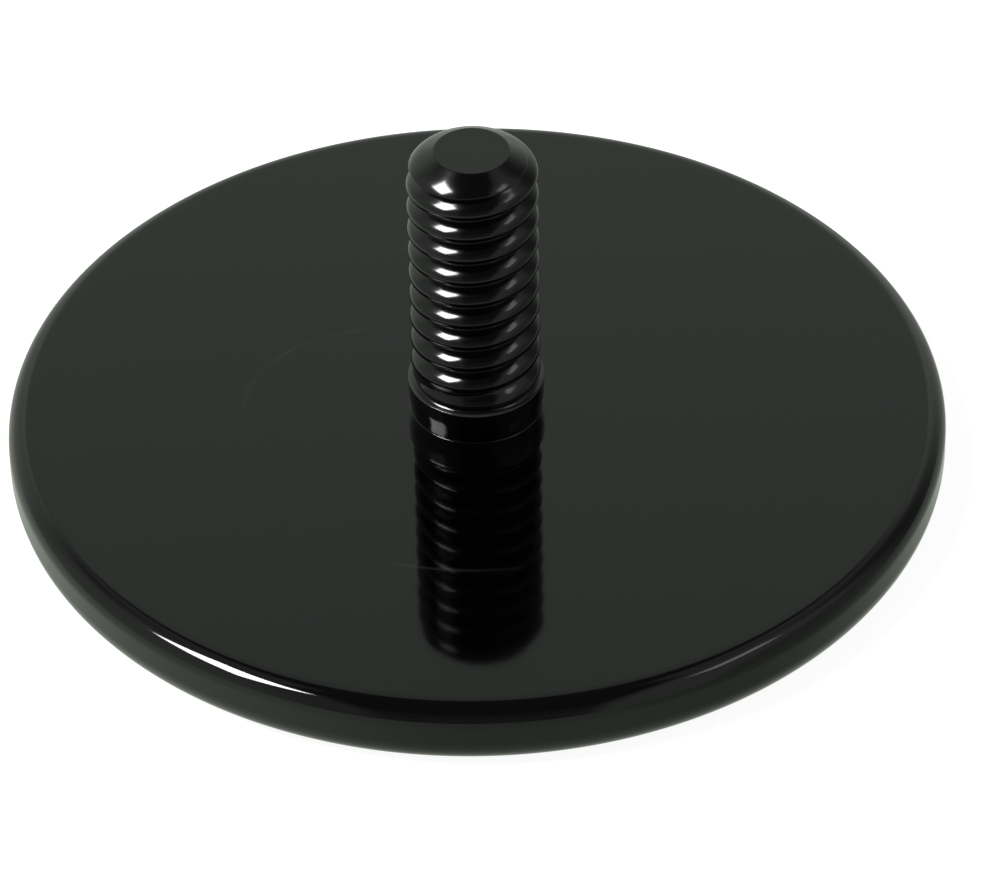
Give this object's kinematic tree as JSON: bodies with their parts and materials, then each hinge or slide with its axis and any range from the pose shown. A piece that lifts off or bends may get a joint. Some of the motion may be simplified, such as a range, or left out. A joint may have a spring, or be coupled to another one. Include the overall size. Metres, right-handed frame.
{
  "type": "security tag detacher mounting disc with stud",
  "caption": "Round gloss-black steel disc with a threaded stud in its centre, which fastens a security tag detacher to a counter or fixture.",
  "frame": {"origin": "centre of the disc's underside, on the stud's axis", "axes": "+Z along the stud, away from the disc; X and Y lie in the disc's underside"},
  "size_m": [0.0444, 0.0444, 0.0182],
  "materials": {
    "disc_coating": "gloss black coating on a steel blank",
    "stud_coating": "gloss black coating on a steel stud, thinner over the thread"
  },
  "bodies": {
    "root": {"disc": "disc_coating", "stud": "stud_coating"}
  },
  "joints": []
}
